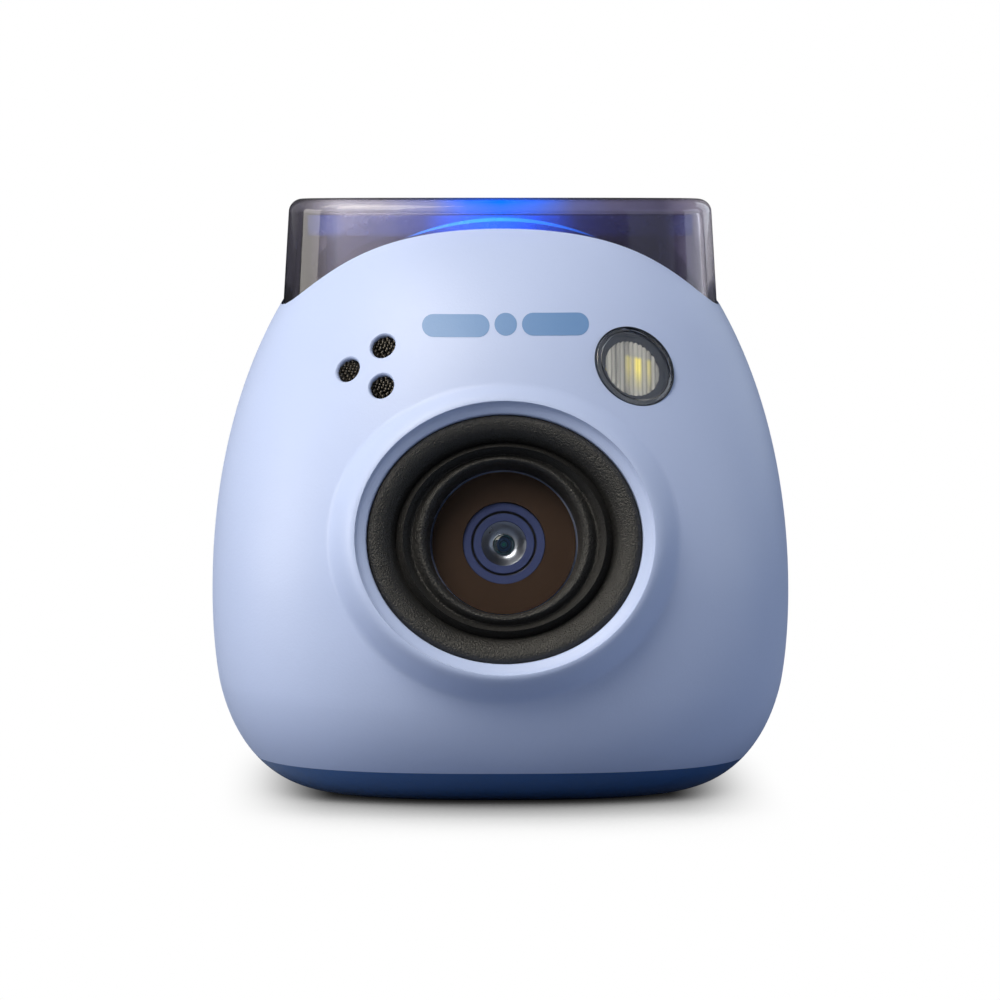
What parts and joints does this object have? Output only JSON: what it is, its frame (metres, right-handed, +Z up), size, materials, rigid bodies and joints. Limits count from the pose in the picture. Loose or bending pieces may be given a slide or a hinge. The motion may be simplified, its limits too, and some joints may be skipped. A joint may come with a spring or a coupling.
{
  "type": "palm-size digital camera",
  "caption": "Rounded palm-size digital camera with an oval lens surround, a smoked clear crown, a round flash window and a large rear shutter button.",
  "frame": {"origin": "middle of the body's outline seen from above, on the table", "axes": "+Z up, the lens looks along -Y, and +X is the side with the flash and the ports"},
  "size_m": [0.0423, 0.0444, 0.043],
  "materials": {
    "body_plastic": "fine-textured satin, pale blue",
    "base_plastic": "gloss, navy",
    "smoke_plastic": "clear smoked, polished",
    "guide_plastic": "clear light guide",
    "bezel_plastic": "matte, fine-textured",
    "cover_glass": "coated, flat",
    "mask_print": "printed brown",
    "barrel_plastic": "matte blue-black",
    "lens_glass": "coated",
    "black_plastic": "matte",
    "filter_glass": "cyan",
    "silicon": "sensor package",
    "board_green": "solder mask",
    "flex_amber": "polyimide film",
    "flash_lens": "clear, polished",
    "reflector_metal": "bright",
    "led_yellow": "phosphor",
    "led_white": "status LED packages",
    "mesh_metal": "black woven wire",
    "steel": "stamped",
    "foam": "closed-cell foam",
    "chassis_plastic": "moulded",
    "cell_foil": "pouch cell foil",
    "nylon": "connector housing",
    "wire_red": "insulation",
    "wire_black": "insulation",
    "chip_black": "moulding compound",
    "trim_metal": "satin chrome",
    "button_plastic": "fine-textured satin, pale blue",
    "slider_plastic": "satin",
    "socket_metal": "turned",
    "screw_steel": "black zinc"
  },
  "bodies": {
    "body": {"front_shell": "body_plastic", "rear_shell": "body_plastic", "base_cover": "base_plastic", "top_cover": "smoke_plastic", "light_guide": "guide_plastic", "led_board": "board_green", "status_leds": "led_white", "lens_bezel": "bezel_plastic", "cover_glass": "cover_glass", "lens_mask": "mask_print", "lens_barrel": "barrel_plastic", "front_element": "lens_glass", "middle_element": "lens_glass", "rear_element": "lens_glass", "aperture_stop": "black_plastic", "lens_holder": "black_plastic", "infrared_filter": "filter_glass", "image_sensor": "silicon", "sensor_board": "board_green", "sensor_flex": "flex_amber", "flash_window": "flash_lens", "flash_mask": "black_plastic", "flash_reflector": "reflector_metal", "flash_led": "led_yellow", "flash_board": "board_green", "sound_mesh": "mesh_metal", "speaker": "steel", "speaker_gasket": "foam", "chassis": "chassis_plastic", "battery": "cell_foil", "battery_pad": "foam", "battery_plug": "nylon", "battery_lead": "wire_red", "speaker_lead": "wire_black", "flash_lead": "wire_black", "led_lead": "wire_black", "main_board": "board_green", "board_chips": "chip_black", "shield_can": "steel", "usb_connector": "steel", "card_socket": "steel", "port_frame": "black_plastic", "button_trim": "trim_metal", "button_spring": "steel", "shutter_switch": "steel", "power_switch": "steel", "mode_switch": "steel", "base_board": "board_green", "tripod_socket": "socket_metal", "board_screws": "screw_steel", "chassis_screws": "screw_steel", "base_screws": "screw_steel"},
    "port_door": {"port_cover": "body_plastic"},
    "shutter": {"shutter_button": "button_plastic"},
    "shutter_pin": {"shutter_plunger": "black_plastic"},
    "power": {"power_button": "base_plastic"},
    "power_pin": {"power_plunger": "nylon"},
    "mode": {"mode_slider": "slider_plastic"},
    "mode_pin": {"mode_lever": "black_plastic"}
  },
  "joints": [
    {"name": "port_door_hinge", "type": "hinge", "parent": "body", "child": "port_door", "pos_m": [0.01865, 0.0148, 0.0145], "axis": [0, 0, 1], "range_deg": [0, 100]},
    {"name": "shutter_press", "type": "slide", "parent": "body", "child": "shutter", "axis": [0, -1, 0], "range_m": [0, 0.0006], "stiffness_N_per_m": 1200, "springref_m": -0.0004, "deforming": ["button_spring"]},
    {"name": "shutter_pin_press", "type": "slide", "parent": "body", "child": "shutter_pin", "axis": [0, -1, 0], "range_m": [0, 0.0006]},
    {"name": "power_press", "type": "slide", "parent": "body", "child": "power", "axis": [0, 0, 1], "range_m": [0, 0.0003], "stiffness_N_per_m": 1500},
    {"name": "power_pin_press", "type": "slide", "parent": "body", "child": "power_pin", "axis": [0, 0, 1], "range_m": [0, 0.0003]},
    {"name": "mode_slide", "type": "slide", "parent": "body", "child": "mode", "axis": [0, 1, 0], "range_m": [0, 0.002]},
    {"name": "mode_pin_slide", "type": "slide", "parent": "body", "child": "mode_pin", "axis": [0, 1, 0], "range_m": [0, 0.002]}
  ],
  "couplings": [
    {"joint": "shutter_pin_press", "follows": "shutter_press", "ratio": 1},
    {"joint": "power_pin_press", "follows": "power_press", "ratio": 1},
    {"joint": "mode_pin_slide", "follows": "mode_slide", "ratio": 1}
  ]
}
